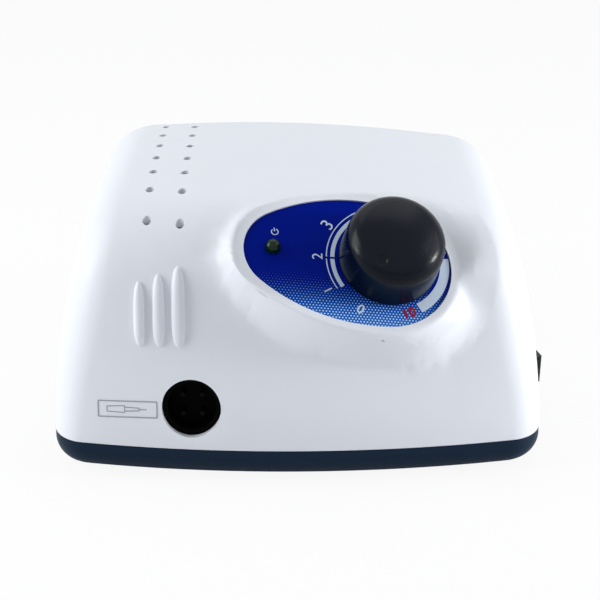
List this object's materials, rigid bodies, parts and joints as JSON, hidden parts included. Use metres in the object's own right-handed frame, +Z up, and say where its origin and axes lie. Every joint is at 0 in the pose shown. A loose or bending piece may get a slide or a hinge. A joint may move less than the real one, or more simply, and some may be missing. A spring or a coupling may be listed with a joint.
{
  "type": "dental micromotor control unit",
  "caption": "Bench control box for a dental micromotor: moulded housing with speed knob, lamp, motor socket and vents on a dark base, switches at the side, mains and pedal sockets at the back.",
  "frame": {"origin": "on the table, in the middle of the unit's width and depth", "axes": "+X to the right and +Y to the back as the user sees it, +Z up"},
  "size_m": [0.1693, 0.1356, 0.0954],
  "materials": {
    "housing": "satin white moulded ABS",
    "base": "satin navy moulded ABS",
    "rubber": "matt black",
    "steel": "bright zinc plate",
    "label": "satin printed polycarbonate film, deep to bright blue",
    "lamp": "clear green epoxy",
    "knob": "fine-textured charcoal",
    "black_plastic": "satin black",
    "white_plastic": "natural nylon",
    "zinc": "plain zinc-plated",
    "brass": "bright",
    "clear_glass": "clear",
    "iron": "varnished laminations",
    "copper": "enamelled copper wire",
    "board": "green solder mask",
    "aluminium": "extruded",
    "can": "dark printed sleeve"
  },
  "bodies": {
    "housing": {"upper_housing": "housing", "base_tray": "base", "rubber_feet": "rubber", "housing_screws": "steel", "label_plate": "label", "status_led": "lamp", "led_holder": "black_plastic", "potentiometer_body": "zinc", "panel_washer": "steel", "panel_nut": "steel", "motor_socket_shell": "black_plastic", "motor_socket_insert": "black_plastic", "motor_socket_pins": "brass", "socket_screws": "steel", "power_switch_body": "black_plastic", "direction_switch_body": "black_plastic", "selector_switch_body": "black_plastic", "mains_inlet_body": "black_plastic", "mains_inlet_pins": "brass", "mains_inlet_screws": "steel", "fuse_holder_body": "black_plastic", "fuse_holder_nut": "black_plastic", "foot_jack_body": "black_plastic", "foot_jack_nut": "steel", "transformer_core": "iron", "transformer_bobbin": "white_plastic", "transformer_windings": "copper", "transformer_frame": "zinc", "transformer_screws": "steel", "circuit_board": "board", "board_screws": "steel", "heat_sink": "aluminium", "power_transistor": "black_plastic", "bridge_rectifier": "black_plastic", "filter_capacitors": "can", "connector_headers": "white_plastic"},
    "knob": {"speed_knob": "knob", "potentiometer_shaft": "zinc"},
    "power_rocker": {"power_rocker": "black_plastic"},
    "direction_rocker": {"direction_rocker": "black_plastic"},
    "selector_rocker": {"selector_rocker": "black_plastic"},
    "fuse_cap": {"fuse_cap": "black_plastic", "fuse_link": "clear_glass"}
  },
  "joints": [
    {"name": "knob_turn", "type": "hinge", "parent": "housing", "child": "knob", "pos_m": [0.0297, -0.0445, 0.0724], "axis": [-0.1499, 0.6014, -0.7848], "range_deg": [0, 300]},
    {"name": "power_rocker_tilt", "type": "hinge", "parent": "housing", "child": "power_rocker", "pos_m": [0.08015, -0.028, 0.027], "axis": [0, 0, -1], "range_deg": [0, 20]},
    {"name": "direction_rocker_tilt", "type": "hinge", "parent": "housing", "child": "direction_rocker", "pos_m": [0.08015, 0, 0.027], "axis": [0, 0, -1], "range_deg": [0, 20]},
    {"name": "selector_rocker_tilt", "type": "hinge", "parent": "housing", "child": "selector_rocker", "pos_m": [-0.018, 0.06108, 0.03377], "axis": [1, 0, 0], "range_deg": [0, 20]},
    {"name": "fuse_cap_turn", "type": "hinge", "parent": "housing", "child": "fuse_cap", "pos_m": [0.004, 0.06256, 0.034], "axis": [0, 0.9877, 0.1564], "range_deg": [0, 60]}
  ]
}
